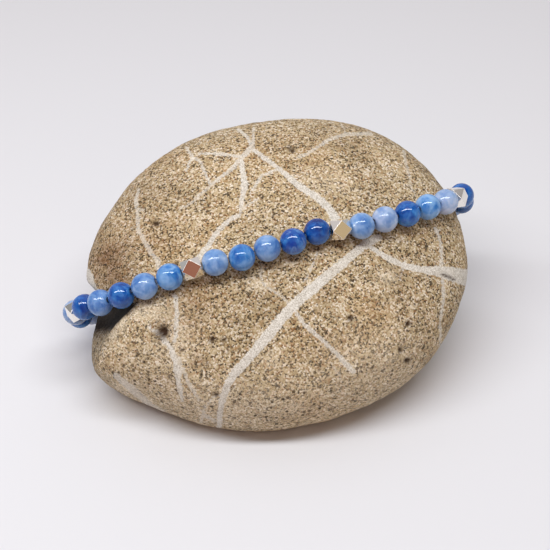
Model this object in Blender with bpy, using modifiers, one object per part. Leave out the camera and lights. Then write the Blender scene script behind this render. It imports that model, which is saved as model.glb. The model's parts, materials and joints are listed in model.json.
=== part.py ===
"""A veined sandstone pebble with a stretch bracelet of round blue beads wound once round it.

The pebble lies on its flat bed, tipped a little forward over its front rim. The bracelet is one
closed string of five round stone beads and one silver cornerless cube, seven times over. It runs
across the top of the pebble from the left front to the right back, and on underneath, where its
lowest beads stand on the surface behind the bed.

+X is to the right, +Y to the back and +Z up. The origin is on the surface, under the middle of the
pebble. Sizes below are in millimetres and degrees, and are turned to metres when a mesh is made.
"""
import math

import bmesh
import bpy
import numpy as np
from mathutils import Matrix

MM = 0.001

# Pebble, in its own frame: level, with its thickest part at the origin.
HALF_LENGTH = 34.7
HALF_DEPTH = 25.7
DOME_HEIGHT = 13.7
BELLY_DEPTH = 13.3
PLAN_ROUNDNESS = 1.8
DOME_ROUNDNESS = 2.3
BELLY_ROUNDNESS = 2.5
# Swells of the outline, as parts of the radius: (waves round the pebble, cosine part, sine part).
OUTLINE_SWELLS = ((2, -0.08, 0.04), (4, -0.03, -0.01))
# The shoulder that stands out at the left front, between the two old breaks.
SHOULDER_RISE = 0.12
SHOULDER_AZIMUTH = -146.0
SHOULDER_WIDTH = 12.0

# Old breaks at the left front. A plane is the x, y and z of the way it faces and its distance from the
# pebble's middle. The chip lies between its floor and its back wall, under the string.
FRONT_BREAK = (-0.57, -0.81, -0.13, 31.3)
CHIP_FLOOR = (-0.86, 0.15, 0.49, 23.1)
CHIP_BACK = (-0.62, -0.72, -0.30, 21.0)
# How sharp the edges of the breaks are: the lower, the rounder they are worn.
EDGE_SHARPNESS = 70.0

# How the pebble lies: tipped forward, its middle above the surface, cut flat where it touches.
TIP_FORWARD = 20.0
MIDDLE_RIGHT = 0.85
MIDDLE_BACK = -0.04
MIDDLE_HEIGHT = 13.72
PEBBLE_MERIDIANS = 60
PEBBLE_PARALLELS = 28

# Bracelet.
BEAD_DIAMETER = 4.0
SILVER_LENGTH = 2.93
# The silver beads have turned on the elastic until a face looks to the front.
SILVER_ROLL = 33.0
HOLE_DIAMETER = 0.9
CORD_DIAMETER = 0.5
BEAD_CLEARANCE = 0.05
BEAD_STEPS = 12
BEAD_ARCS = 6
SILVER_HOLE_SIDES = 8

# The plane that the bracelet lies in, in the pebble's frame: its turn about the vertical, its lean to
# the front, its roll along its own length, and how far behind the pebble's middle it passes.
LOOP_TURN = 18.5
LOOP_LEAN = 23.5
LOOP_ROLL = -4.5
LOOP_OFFSET = 2.15
LOOP_SAMPLES = 720
# Length along the string from the right end of the loop, over the top, to the far left bead.
FIRST_BEAD_ARC = 83.7
# The beads in order, from the far left one over the top: d deep, m middle, l light and p pale blue,
# and S silver. The last four close the first one's group of five.
STRING = "pSdldlmSlmlmdSlpdmpSddlmpSmdlpmSldmdlSmlpd"
SHADES = {"d": "deep", "m": "middle", "l": "light", "p": "pale"}
# How far each of the beads on top stands behind the loop's plane, in the same order. Round the back
# and underneath they stand a little before and behind it by turns.
TOP_OUT_OF_LINE = (0.28, 0.24, -0.05, -0.7, -0.9, -0.57, -0.12, 0.29, 0.29, -0.15, 0.15,
                   0.06, 0.55, -0.15, -0.6, -0.6, -0.69, -0.45, -0.3, 0.16, 0.5, -0.1)
BACK_OUT_OF_LINE = 0.15
COLOURS = {
    "deep": (0.03, 0.10, 0.40, 1.0),
    "middle": (0.07, 0.19, 0.52, 1.0),
    "light": (0.17, 0.31, 0.66, 1.0),
    "pale": (0.30, 0.42, 0.72, 1.0),
}
SANDSTONE = (0.42, 0.31, 0.20, 1.0)
SILVER = (0.90, 0.87, 0.84, 1.0)
ELASTIC = (0.85, 0.86, 0.88, 1.0)


def empty_the_file():
    """Removes what the file held."""
    for old in list(bpy.data.objects):
        bpy.data.objects.remove(old)


def make_material(name, colour, roughness, metallic=0.0):
    """A Principled BSDF material."""
    material = bpy.data.materials.new(name)
    material.use_nodes = True
    shader = material.node_tree.nodes["Principled BSDF"]
    shader.inputs["Base Color"].default_value = colour
    shader.inputs["Roughness"].default_value = roughness
    shader.inputs["Metallic"].default_value = metallic
    return material


def body_radius(ways):
    """Distance of the unbroken pebble's surface from its middle, along each unit vector of ways."""
    x, y, z = ways.T
    half_height = np.where(z > 0, DOME_HEIGHT, BELLY_DEPTH)
    roundness = np.where(z > 0, DOME_ROUNDNESS, BELLY_ROUNDNESS)
    plan = np.abs(x / HALF_LENGTH) ** PLAN_ROUNDNESS + np.abs(y / HALF_DEPTH) ** PLAN_ROUNDNESS
    radius = (plan ** (roundness / PLAN_ROUNDNESS) + np.abs(z / half_height) ** roundness) ** (-1 / roundness)
    azimuth = np.arctan2(y, x)
    swell = sum(c * np.cos(n * azimuth) + s * np.sin(n * azimuth) for n, c, s in OUTLINE_SWELLS)
    aside = (azimuth - math.radians(SHOULDER_AZIMUTH) + np.pi) % (2 * np.pi) - np.pi
    shoulder = SHOULDER_RISE * np.exp(-(aside / math.radians(SHOULDER_WIDTH)) ** 2)
    return radius * (1 + (x * x + y * y) * (swell + shoulder))


def plane_nearness(ways, plane):
    """One over the distance of a plane from the middle, along each unit vector of ways."""
    return ways @ np.array(plane[:3]) / plane[3]


def worn_meeting(*nearness):
    """The inner one of several surfaces, given as one over their distance, with worn edges."""
    stack = np.maximum(np.stack(nearness), 1e-6)
    nearest = stack.max(axis=0)
    return nearest * ((stack / nearest) ** EDGE_SHARPNESS).sum(axis=0) ** (1 / EDGE_SHARPNESS)


def pebble_radius(ways):
    """The broken pebble: the body, cut by the front break and by the chip between its two faces."""
    chip = np.minimum(plane_nearness(ways, CHIP_FLOOR), plane_nearness(ways, CHIP_BACK))
    return 1 / worn_meeting(1 / body_radius(ways), plane_nearness(ways, FRONT_BREAK), chip)


def lie_down(points):
    """Turns points of the pebble's frame to the way that it lies on the surface."""
    return turn_forward(points) + np.array([MIDDLE_RIGHT, MIDDLE_BACK, MIDDLE_HEIGHT])


def turn_forward(ways):
    """Turns directions of the pebble's frame as the pebble itself is tipped."""
    tip = math.radians(TIP_FORWARD)
    x, y, z = ways.T
    back = y * math.cos(tip) - z * math.sin(tip)
    up = y * math.sin(tip) + z * math.cos(tip)
    return np.stack([x, back, up], axis=1)


def build_pebble(collection):
    """A sphere of directions moved out to the pebble's surface, with its bed cut flat at the surface."""
    mesh = bpy.data.meshes.new("pebble")
    shape = bmesh.new()
    bmesh.ops.create_uvsphere(shape, u_segments=PEBBLE_MERIDIANS, v_segments=PEBBLE_PARALLELS, radius=1.0)
    ways = np.array([vertex.co for vertex in shape.verts])
    ways /= np.linalg.norm(ways, axis=1)[:, None]
    points = lie_down(ways * pebble_radius(ways)[:, None])
    points[:, 2] = np.maximum(points[:, 2], 0.0)
    for vertex, point in zip(shape.verts, points * MM):
        vertex.co = point
    shape.to_mesh(mesh)
    shape.free()
    mesh.shade_smooth()
    mesh.materials.append(make_material("sandstone", SANDSTONE, 0.85))
    pebble = bpy.data.objects.new("pebble", mesh)
    collection.objects.link(pebble)


def height_over_body(points):
    """Distance of points from the unbroken pebble's surface, and the way straight out from it."""
    def outside(q):
        length = np.linalg.norm(q, axis=1)
        return length - body_radius(q / length[:, None])

    step = 0.03
    slopes = [outside(points + step * axis) - outside(points - step * axis) for axis in np.eye(3)]
    slope = np.stack(slopes, axis=1) / (2 * step)
    steepness = np.linalg.norm(slope, axis=1)
    return outside(points) / steepness, slope / steepness[:, None]


def settle(points):
    """Moves bead centres straight out or in until each bead just clears the pebble."""
    for _ in range(6):
        height, out = height_over_body(points)
        points = points + out * (BEAD_DIAMETER / 2 + BEAD_CLEARANCE - height)[:, None]
    return points


def loop_axes():
    """The loop plane's long axis, its upward axis and the way across it to the back."""
    turn, lean, roll = (math.radians(angle) for angle in (LOOP_TURN, LOOP_LEAN, LOOP_ROLL))
    along = np.array([math.cos(turn), math.sin(turn), 0.0])
    back = np.array([-math.sin(turn), math.cos(turn), 0.0])
    rise = math.cos(lean) * np.array([0.0, 0.0, 1.0]) - math.sin(lean) * back
    long_axis = math.cos(roll) * along + math.sin(roll) * rise
    up_axis = math.cos(roll) * rise - math.sin(roll) * along
    return long_axis, up_axis, np.cross(up_axis, long_axis)


def loop_path():
    """The closed line of bead centres round the pebble, from the right end of the loop over its top."""
    long_axis, up_axis, across = loop_axes()
    angle = np.linspace(0, 2 * np.pi, LOOP_SAMPLES, endpoint=False)
    way = np.cos(angle)[:, None] * long_axis + np.sin(angle)[:, None] * up_axis
    inner = np.zeros(LOOP_SAMPLES)
    outer = np.full(LOOP_SAMPLES, 2 * HALF_LENGTH)
    for _ in range(30):
        middle = (inner + outer) / 2
        point = across * LOOP_OFFSET + way * middle[:, None]
        length = np.linalg.norm(point, axis=1)
        inside = length < body_radius(point / length[:, None])
        inner = np.where(inside, middle, inner)
        outer = np.where(inside, outer, middle)
    return settle(across * LOOP_OFFSET + way * (inner + BEAD_DIAMETER / 2)[:, None])


def steps_between(points):
    """Distance from each point of a closed line to the next one."""
    return np.linalg.norm(np.roll(points, -1, axis=0) - points, axis=1)


def out_of_line():
    """How far each bead stands behind the loop's plane."""
    turns = BACK_OUT_OF_LINE * np.cos(np.pi * np.arange(len(STRING)))
    turns[:len(TOP_OUT_OF_LINE)] = TOP_OUT_OF_LINE
    return turns


def bead_centres():
    """The centres of the beads in order, shared out along the loop so that all gaps are alike."""
    path = loop_path()
    closed = np.vstack([path, path[:1]])
    run = np.concatenate([[0.0], np.cumsum(steps_between(path))])
    lengths = bead_lengths()
    needed = (lengths + np.roll(lengths, -1)) / 2
    shares = needed.copy()
    for _ in range(8):
        shares *= run[-1] / shares.sum()
        at = (FIRST_BEAD_ARC - np.concatenate([[0.0], np.cumsum(shares[:-1])])) % run[-1]
        centres = np.stack([np.interp(at, run, closed[:, axis]) for axis in range(3)], axis=1)
        centres = settle(centres + loop_axes()[2] * out_of_line()[:, None])
        shares *= needed / steps_between(centres)
    return centres


def bead_lengths():
    """How much of the string each bead takes."""
    return np.array([SILVER_LENGTH if letter == "S" else BEAD_DIAMETER for letter in STRING])


def headings_along(centres):
    """The direction of the string through each bead, halfway between those to its neighbours."""
    forward = np.roll(centres, -1, axis=0) - centres
    forward /= np.linalg.norm(forward, axis=1)[:, None]
    heading = forward + np.roll(forward, 1, axis=0)
    return heading / np.linalg.norm(heading, axis=1)[:, None]


def bead_mesh():
    """A drilled round bead with its hole along Z, as a turned profile."""
    radius = BEAD_DIAMETER / 2 * MM
    hole = HOLE_DIAMETER / 2 * MM
    mouth = math.asin(hole / radius)
    angles = [mouth + (math.pi - 2 * mouth) * step / BEAD_ARCS for step in range(BEAD_ARCS + 1)]
    profile = [(radius * math.sin(angle), 0.0, radius * math.cos(angle)) for angle in angles]
    edges = [(i, (i + 1) % len(profile)) for i in range(len(profile))]
    mesh = bpy.data.meshes.new("bead_profile")
    mesh.from_pydata(profile, edges, [])
    turned = bpy.data.objects.new("bead_profile", mesh)
    bpy.context.scene.collection.objects.link(turned)
    screw = turned.modifiers.new("turn", "SCREW")
    screw.axis = "Z"
    screw.steps = BEAD_STEPS
    screw.render_steps = BEAD_STEPS
    screw.use_merge_vertices = True
    screw.merge_threshold = 0.00001
    evaluated = turned.evaluated_get(bpy.context.evaluated_depsgraph_get())
    finished = bpy.data.meshes.new_from_object(evaluated)
    bpy.data.objects.remove(turned)
    finished.shade_smooth()
    finished.name = "bead"
    return finished


def silver_mesh():
    """A cornerless cube: each corner is cut off as far as the middles of its edges. The hole is along Z."""
    mesh = bpy.data.meshes.new("silver_bead")
    shape = bmesh.new()
    bmesh.ops.create_cube(shape, size=SILVER_LENGTH * MM)
    half_edge = SILVER_LENGTH * MM / 2
    bmesh.ops.bevel(shape, geom=list(shape.verts), offset=half_edge, offset_type="OFFSET", segments=1,
                    profile=0.5, affect="VERTICES")
    bmesh.ops.remove_doubles(shape, verts=list(shape.verts), dist=0.000001)
    shape.to_mesh(mesh)
    shape.free()
    return mesh


def frame_for(centre, heading, out, roll):
    """A matrix that puts a bead at its centre with its hole along the string. Its X looks away from the
    pebble, and then turns about the string by the roll."""
    side = np.cross(heading, out)
    side /= np.linalg.norm(side)
    away = np.cross(side, heading)
    turn = Matrix([[away[i], side[i], heading[i]] for i in range(3)]).to_4x4()
    return Matrix.Translation(centre * MM) @ turn @ Matrix.Rotation(math.radians(roll), 4, "Z")


def build_bracelet(collection, cutters):
    """The beads, each a node of its own, and the elastic cord through their holes."""
    centres = bead_centres()
    headings = turn_forward(headings_along(centres))
    outs = turn_forward(height_over_body(centres)[1])
    centres = lie_down(centres)
    round_bead = bead_mesh()
    cube = silver_mesh()
    paints = {name: make_material(name + "_blue_stone", colour, 0.12) for name, colour in COLOURS.items()}
    silver = make_material("silver", SILVER, 0.12, 1.0)
    for i, letter in enumerate(STRING):
        place = frame_for(centres[i], headings[i], outs[i], SILVER_ROLL if letter == "S" else 0.0)
        silvers_so_far = STRING[:i + 1].count("S")
        if letter == "S":
            bead = bpy.data.objects.new(f"silver_bead_{silvers_so_far}", cube.copy())
            bead.data.materials.append(silver)
            drill_hole(bead, place, cutters)
        else:
            bead = bpy.data.objects.new(f"blue_bead_{i + 1 - silvers_so_far:02d}", round_bead.copy())
            bead.data.materials.append(paints[SHADES[letter]])
        bead.matrix_world = place
        collection.objects.link(bead)
    build_cord(collection, centres, headings)


def drill_hole(bead, place, cutters):
    """Cuts the cord's hole through a silver bead."""
    shape = bmesh.new()
    bmesh.ops.create_cone(shape, cap_ends=True, segments=SILVER_HOLE_SIDES, radius1=HOLE_DIAMETER / 2 * MM,
                          radius2=HOLE_DIAMETER / 2 * MM, depth=2 * SILVER_LENGTH * MM)
    mesh = bpy.data.meshes.new(bead.name + "_drill")
    shape.to_mesh(mesh)
    shape.free()
    drill = bpy.data.objects.new(bead.name + "_drill", mesh)
    drill.matrix_world = place
    drill.hide_render = True
    drill.display_type = "WIRE"
    cutters.objects.link(drill)
    cut = bead.modifiers.new("hole", "BOOLEAN")
    cut.operation = "DIFFERENCE"
    cut.object = drill


def build_cord(collection, centres, headings):
    """The elastic: a closed tube whose corners are where each bead's hole meets the next one's."""
    half = bead_lengths()[:, None] / 2
    leaving = centres + headings * half
    entering = centres - headings * half
    corners = (leaving + np.roll(entering, -1, axis=0)) / 2
    curve = bpy.data.curves.new("elastic_cord", "CURVE")
    curve.dimensions = "3D"
    curve.bevel_depth = CORD_DIAMETER / 2 * MM
    curve.bevel_resolution = 2
    spline = curve.splines.new("POLY")
    spline.points.add(len(corners) - 1)
    spline.points.foreach_set("co", np.column_stack([corners * MM, np.ones(len(corners))]).ravel())
    spline.use_cyclic_u = True
    curve.materials.append(make_material("elastic", ELASTIC, 0.35))
    cord = bpy.data.objects.new("elastic_cord", curve)
    collection.objects.link(cord)


def main():
    """Builds the pebble and its bracelet."""
    empty_the_file()
    collection = bpy.data.collections.new("pebble_with_bracelet")
    cutters = bpy.data.collections.new("cutters")
    bpy.context.scene.collection.children.link(collection)
    bpy.context.scene.collection.children.link(cutters)
    build_pebble(collection)
    build_bracelet(collection, cutters)


main()
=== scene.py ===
# %% [markdown]
# # A veined sandstone pebble in a bracelet of blue beads
# The real object is a water-worn pebble, dull and full of sand grains, with a bright string of polished
# beads drawn tight round it. The picture lives on that contrast: rough against glassy, tan against
# blue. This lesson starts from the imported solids, which already say where every bead is, and makes
# the fine surfaces that the eye gets to see.

# %% The frame that everything is built around
import json
import math

import bmesh
import bpy
import numpy as np
from mathutils import Matrix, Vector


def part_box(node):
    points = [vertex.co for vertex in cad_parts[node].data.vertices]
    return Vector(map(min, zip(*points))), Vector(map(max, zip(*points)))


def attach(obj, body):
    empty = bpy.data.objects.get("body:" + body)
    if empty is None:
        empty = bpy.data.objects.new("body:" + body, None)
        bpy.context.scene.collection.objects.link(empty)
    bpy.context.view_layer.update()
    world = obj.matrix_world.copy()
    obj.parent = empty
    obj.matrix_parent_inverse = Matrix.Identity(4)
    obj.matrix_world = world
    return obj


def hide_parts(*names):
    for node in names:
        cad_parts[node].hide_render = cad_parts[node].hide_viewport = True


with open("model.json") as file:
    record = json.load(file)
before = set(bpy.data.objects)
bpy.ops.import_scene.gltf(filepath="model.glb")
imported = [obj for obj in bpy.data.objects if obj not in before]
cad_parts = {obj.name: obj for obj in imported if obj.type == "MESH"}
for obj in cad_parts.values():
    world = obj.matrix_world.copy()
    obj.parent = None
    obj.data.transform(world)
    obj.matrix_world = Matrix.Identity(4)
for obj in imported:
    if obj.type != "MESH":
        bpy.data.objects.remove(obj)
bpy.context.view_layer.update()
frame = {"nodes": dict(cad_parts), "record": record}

MM = 0.001
SLOT_OF = {part["node"]: part["material_slot"] for part in frame["record"]["subparts"]}


# %% [markdown]
# ## Two helpers for materials
# Colours are given as sRGB hex codes, the way a screen shows them, but a shader multiplies
# light, so it wants linear numbers. One function turns the first into the second. A second function
# adds a node with its settings and its links in a single call, so that a material reads like a recipe.

# %% Colours and nodes
def colour(code):
    """Linear colour of an sRGB hex code: a straight line near black, above it a power of 2.4."""
    srgb = np.array([int(code[i:i + 2], 16) / 255 for i in (0, 2, 4)])
    linear = np.where(srgb <= 0.04045, srgb / 12.92, ((srgb + 0.055) / 1.055) ** 2.4)
    return (*linear.tolist(), 1.0)


def add(material, kind, settings=None, links=None):
    """Adds a node. settings fills its properties, sockets or colour ramp, links joins outputs to sockets."""
    tree = material.node_tree
    node = tree.nodes.new(kind)
    for name, value in (settings or {}).items():
        if name == "ramp":
            stops = node.color_ramp.elements
            for _ in value[2:]:
                stops.new(1.0)
            for stop, (place, code) in zip(stops, value):
                stop.position = place
                stop.color = colour(code)
        elif isinstance(name, str) and hasattr(node, name):
            setattr(node, name, value)
        else:
            node.inputs[name].default_value = value
    for name, output in (links or {}).items():
        tree.links.new(output, node.inputs[name])
    return node


def new_material(name):
    """A material with an empty node tree but for its output."""
    material = bpy.data.materials.new(name)
    material.use_nodes = True
    material.node_tree.nodes.clear()
    return material


def finish_material(material, shader):
    """Joins the shader to the material's output."""
    add(material, "ShaderNodeOutputMaterial", links={"Surface": shader.outputs[0]})
    return material


print("middle grey, 808080, as a linear number:", round(colour("808080")[0], 3))


# %% [markdown]
# ## The camera comes first
# The camera looks down at the stone at 42 degrees to the floor, with a longish lens. It is worked
# out here, before any shape, because the veins and pits of this one pebble are placed by where they
# are seen. The same few numbers therefore serve twice: to make the camera, and to tell which pixel of
# a 550 pixel wide picture each point of the stone falls on.

# %% Camera
PICTURE = 550
FOCAL_PIXELS = 1400.0
SENSOR_WIDTH = 36.0
CAMERA_ELEVATION = 42.0
CAMERA_DISTANCE = 225.66
LOOK_AT = np.array([0.85, -0.04, 13.72])
FRAMING_RIGHT = -0.44
FRAMING_UP = -1.05

elevation = math.radians(CAMERA_ELEVATION)
camera_right = np.array([1.0, 0.0, 0.0])
camera_up = np.array([0.0, math.sin(elevation), math.cos(elevation)])
camera_ahead = np.array([0.0, math.cos(elevation), -math.sin(elevation)])
camera_at = LOOK_AT - camera_ahead * CAMERA_DISTANCE + camera_right * FRAMING_RIGHT + camera_up * FRAMING_UP

camera = bpy.data.objects.new("camera", bpy.data.cameras.new("camera"))
camera.data.sensor_width = SENSOR_WIDTH
camera.data.lens = SENSOR_WIDTH * FOCAL_PIXELS / PICTURE
camera.data.clip_start = 0.01
turn = np.stack([camera_right, camera_up, -camera_ahead], axis=1)
camera.matrix_world = Matrix.Translation(camera_at * MM) @ Matrix(turn.tolist()).to_4x4()
bpy.context.scene.collection.objects.link(camera)
bpy.context.scene.camera = camera


def to_pixels(points):
    """Where points in mm fall in the picture, x to the right and y down: the focal length times the
    offset sideways or upward, over the depth ahead of the camera."""
    from_camera = points - camera_at
    depth = from_camera @ camera_ahead
    x = PICTURE / 2 + FOCAL_PIXELS * (from_camera @ camera_right) / depth
    y = PICTURE / 2 - FOCAL_PIXELS * (from_camera @ camera_up) / depth
    return np.stack([x, y], axis=1)


PIXELS_PER_MM = FOCAL_PIXELS / CAMERA_DISTANCE
print("lens in mm:", round(camera.data.lens, 1), "pixels per mm:", round(PIXELS_PER_MM, 2))


# %% [markdown]
# ## The pebble's form
# Water rounds a stone to something between an ellipsoid and a box. A superellipse says that with one
# number: 2 is an ellipse, more is squarer. The plan, the dome and the belly each have their own. Low
# waves round the outline make it lopsided, and three planes cut the old breaks at the left front.
# The values are those of the solid, so that the fine surface keeps to it.

# %% Form
HALF_LENGTH = 34.7
HALF_DEPTH = 25.7
DOME_HEIGHT = 13.7
BELLY_DEPTH = 13.3
PLAN_ROUNDNESS = 1.8
DOME_ROUNDNESS = 2.3
BELLY_ROUNDNESS = 2.5
# Each swell: how many waves go round the plan, then its cosine share and its sine share.
OUTLINE_SWELLS = ((2, -0.08, 0.04), (4, -0.03, -0.01))
SHOULDER_RISE = 0.12
SHOULDER_AZIMUTH = -146.0
SHOULDER_WIDTH = 12.0
# Each plane: its normal, then its distance from the middle in mm.
FRONT_BREAK = (-0.57, -0.81, -0.13, 31.3)
CHIP_FLOOR = (-0.86, 0.15, 0.49, 23.1)
CHIP_BACK = (-0.62, -0.72, -0.30, 21.0)
EDGE_SHARPNESS = 70.0
LEAST_NEARNESS = 1e-6
TIP_FORWARD = 20.0
MIDDLE = LOOK_AT


def body_radius(ways):
    """Radius of the unbroken pebble along unit vectors: the superellipse of the plan, raised to the
    dome's or the belly's own power and added to the height's share, times one plus the swells."""
    x, y, z = ways.T
    half_height = np.where(z > 0, DOME_HEIGHT, BELLY_DEPTH)
    roundness = np.where(z > 0, DOME_ROUNDNESS, BELLY_ROUNDNESS)
    plan = np.abs(x / HALF_LENGTH) ** PLAN_ROUNDNESS + np.abs(y / HALF_DEPTH) ** PLAN_ROUNDNESS
    radius = (plan ** (roundness / PLAN_ROUNDNESS) + np.abs(z / half_height) ** roundness) ** (-1 / roundness)
    azimuth = np.arctan2(y, x)
    swell = sum(c * np.cos(n * azimuth) + s * np.sin(n * azimuth) for n, c, s in OUTLINE_SWELLS)
    aside = (azimuth - math.radians(SHOULDER_AZIMUTH) + np.pi) % (2 * np.pi) - np.pi
    shoulder = SHOULDER_RISE * np.exp(-(aside / math.radians(SHOULDER_WIDTH)) ** 2)
    return radius * (1 + (x * x + y * y) * (swell + shoulder))


def plane_nearness(ways, plane):
    """One over the distance to a plane along unit vectors: their share of its normal, over its distance."""
    return ways @ np.array(plane[:3]) / plane[3]


def pebble_radius(ways):
    """The broken pebble: the nearest of body, break and chip, with a soft edge between them. The chip
    is what lies outside both its floor and its back wall."""
    chip = np.minimum(plane_nearness(ways, CHIP_FLOOR), plane_nearness(ways, CHIP_BACK))
    stack = np.stack([1 / body_radius(ways), plane_nearness(ways, FRONT_BREAK), chip])
    stack = np.maximum(stack, LEAST_NEARNESS)
    nearest = stack.max(axis=0)
    return 1 / (nearest * ((stack / nearest) ** EDGE_SHARPNESS).sum(axis=0) ** (1 / EDGE_SHARPNESS))


def tip(ways):
    """Turns vectors forward about X by the angle that the pebble is tipped."""
    angle = math.radians(TIP_FORWARD)
    x, y, z = ways.T
    back = y * math.cos(angle) - z * math.sin(angle)
    up = y * math.sin(angle) + z * math.cos(angle)
    return np.stack([x, back, up], axis=1)


def untip(ways):
    """Turns vectors of the floor's frame back to the pebble's own."""
    angle = math.radians(TIP_FORWARD)
    x, y, z = ways.T
    own_y = y * math.cos(angle) + z * math.sin(angle)
    own_z = z * math.cos(angle) - y * math.sin(angle)
    return np.stack([x, own_y, own_z], axis=1)


to_the_right = np.array([[1.0, 0.0, 0.0]])
print("from the middle to the right end in mm:", round(float(pebble_radius(to_the_right)[0]), 1))


# %% [markdown]
# ## A sheet wrapped round the stone
# A globe's grid wastes its points at the poles. Here a square sheet is laid over the side that faces
# the camera and wrapped round like a cloth round a ball, and it is gathered to one point on the
# hidden side below. Its cells stay nearly square and most of them are where they are seen. There
# each is only about a pixel and a half wide, so that veins can be drawn with it.

# %% Sheet of directions
SHEET_CELLS = 314
WRAP_EVEN = 120.0
WRAP_GATHERED = 60.0
GATHER_POWER = 8


def wrapped_sheet():
    """Unit vectors over a square sheet. The square is rounded to a disc by u times the root of
    1 - v*v/2 and v times the root of 1 - u*u/2. The angle from the camera's side grows as 120 degrees
    times the disc's radius, plus 60 degrees times its eighth power."""
    line = np.linspace(-1, 1, SHEET_CELLS + 1)
    u, v = np.meshgrid(line, line)
    x = (u * np.sqrt(1 - v * v / 2)).ravel()
    y = (v * np.sqrt(1 - u * u / 2)).ravel()
    r = np.minimum(np.hypot(x, y), 1.0)
    around = np.arctan2(y, x)
    away = np.radians(WRAP_EVEN * r + WRAP_GATHERED * r ** GATHER_POWER)
    ways = (np.cos(away)[:, None] * -camera_ahead
            + (np.sin(away) * np.cos(around))[:, None] * camera_right
            + (np.sin(away) * np.sin(around))[:, None] * camera_up)
    corner = np.arange(SHEET_CELLS * (SHEET_CELLS + 1)).reshape(SHEET_CELLS, SHEET_CELLS + 1)[:, :-1].ravel()
    faces = corner[:, None] + np.array([0, 1, SHEET_CELLS + 2, SHEET_CELLS + 1])
    return untip(ways), faces


ways, sheet_faces = wrapped_sheet()
smooth_radius = pebble_radius(ways)
on_stone = to_pixels(tip(ways * smooth_radius[:, None]) + MIDDLE)
print("sheet:", len(ways), "points,", len(sheet_faces), "cells")


# %% [markdown]
# ## Veins where they really are
# White calcite filled cracks that run right through the pebble. So each vein is a thin wall, and a
# point of the surface is in it when its pixel is near the vein's route. Seen from the camera the
# routes fall where they should, and on the sides and below the same walls come out again, as they do
# in a real stone. The routes are read off as pixels of the picture, with a width at each end.

# %% Vein routes
# Each route: how clear it is, its width at the start and at the end in pixels, then its points.
VEIN_ROUTES = (
    (0.85, 4, 6, (251, 147), (264, 156.5), (277, 166), (286, 174), (298, 184.5)),
    (0.95, 6, 9, (298, 184.5), (311, 193), (323, 201), (330, 209), (336, 219)),
    (0.75, 4, 3, (252, 147), (247, 135), (238, 128)),
    (0.65, 4, 2, (252, 147), (253, 138), (253, 126)),
    (0.75, 5, 3, (250, 148), (240, 158), (232, 168), (211, 184)),
    (0.5, 3, 2, (211, 184), (195, 198), (186, 205), (177, 208)),
    (0.8, 3, 2, (241, 156), (220, 153), (199, 154)),
    (0.7, 3, 3, (186, 147), (191, 156), (200, 161), (205, 174), (210, 183)),
    (0.7, 3, 2, (191, 159), (185, 170)),
    (0.95, 4, 7, (241, 159), (242.5, 171), (244.5, 184)),
    (0.8, 7, 3, (244.5, 184), (241.5, 198), (240, 211)),
    (0.8, 4, 6, (239, 215), (232, 217), (220, 227), (212, 237), (206, 247), (199, 256), (190, 270)),
    (0.75, 3, 2, (276, 169), (261, 175), (255, 185), (250, 192)),
    (0.6, 2, 2, (257, 198), (243, 207)),
    (0.6, 3, 4, (135, 187), (133.5, 199), (135.5, 215), (137, 229)),
    (0.5, 4, 5, (137, 229), (144, 242), (150, 253), (157, 260), (157, 268)),
    (0.5, 3, 2, (135, 209), (142, 209)),
    (0.9, 7, 9, (86, 272), (90, 286), (97, 299)),
    (0.85, 4, 4, (174, 296), (175.5, 308), (175.5, 324), (174, 342)),
    (0.9, 3, 5, (148, 327), (157, 336), (163, 343)),
    (0.9, 4, 7, (163, 341), (170, 350), (174.5, 361), (176.5, 373)),
    (0.8, 6, 4, (176.5, 373), (178.5, 386), (181, 402)),
    (0.6, 4, 3, (177, 358), (184, 374), (190, 388), (198, 402)),
    (0.9, 7, 11, (380, 237), (370, 241.5), (360, 249), (348, 260), (336, 270), (324, 280)),
    (1.0, 11, 11, (324, 280), (312, 290), (300, 300), (290, 310), (280, 321), (268, 336)),
    (1.0, 11, 8, (268, 336), (256, 350), (246, 362), (236, 372), (229, 382)),
    (0.9, 8, 5, (229, 382), (225, 392), (221, 404), (219, 416), (218, 432)),
    (0.5, 2, 3, (221, 396), (210, 401), (203, 412), (200, 424)),
    (0.6, 3, 4, (201, 418), (213, 424)),
    (0.9, 4, 7, (369, 246), (380, 252), (392, 259), (408, 266), (426, 270)),
    (0.95, 7, 17, (426, 270), (440, 271), (452, 273.5), (470, 278)),
    (0.55, 3, 1, (405.5, 267), (402, 284)),
    (0.8, 3, 3, (438.5, 227), (442, 236), (444, 246), (444.5, 265), (446, 286), (446, 297)),
    (0.7, 3, 2, (446, 297), (444, 313), (443, 328), (441, 347)),
    (0.5, 3, 2, (405, 150), (407, 165), (410, 180), (415, 195)),
    (0.55, 4, 3, (372, 132), (347, 132), (330, 138), (320, 145), (308, 153), (298, 156)),
    (0.45, 2, 2, (347, 132), (343, 122)),
    (0.55, 2, 3, (261, 259), (261, 278), (265, 286), (280, 295.5), (289, 303)),
    (0.8, 4, 5, (297, 314), (305, 326), (323, 341), (334, 352), (345, 363), (354, 373)),
    (0.3, 3, 2, (335, 369), (344, 383)),
    (0.6, 2, 2, (318, 252), (311, 270), (304, 283)),
    (0.7, 6, 8, (114, 377), (122, 384), (133, 394)),
    (0.6, 8, 3, (133, 394), (146, 405), (164, 415)),
)
FAR_OUTSIDE = -50.0
LEAST_DEPTH = -1.5


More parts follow.
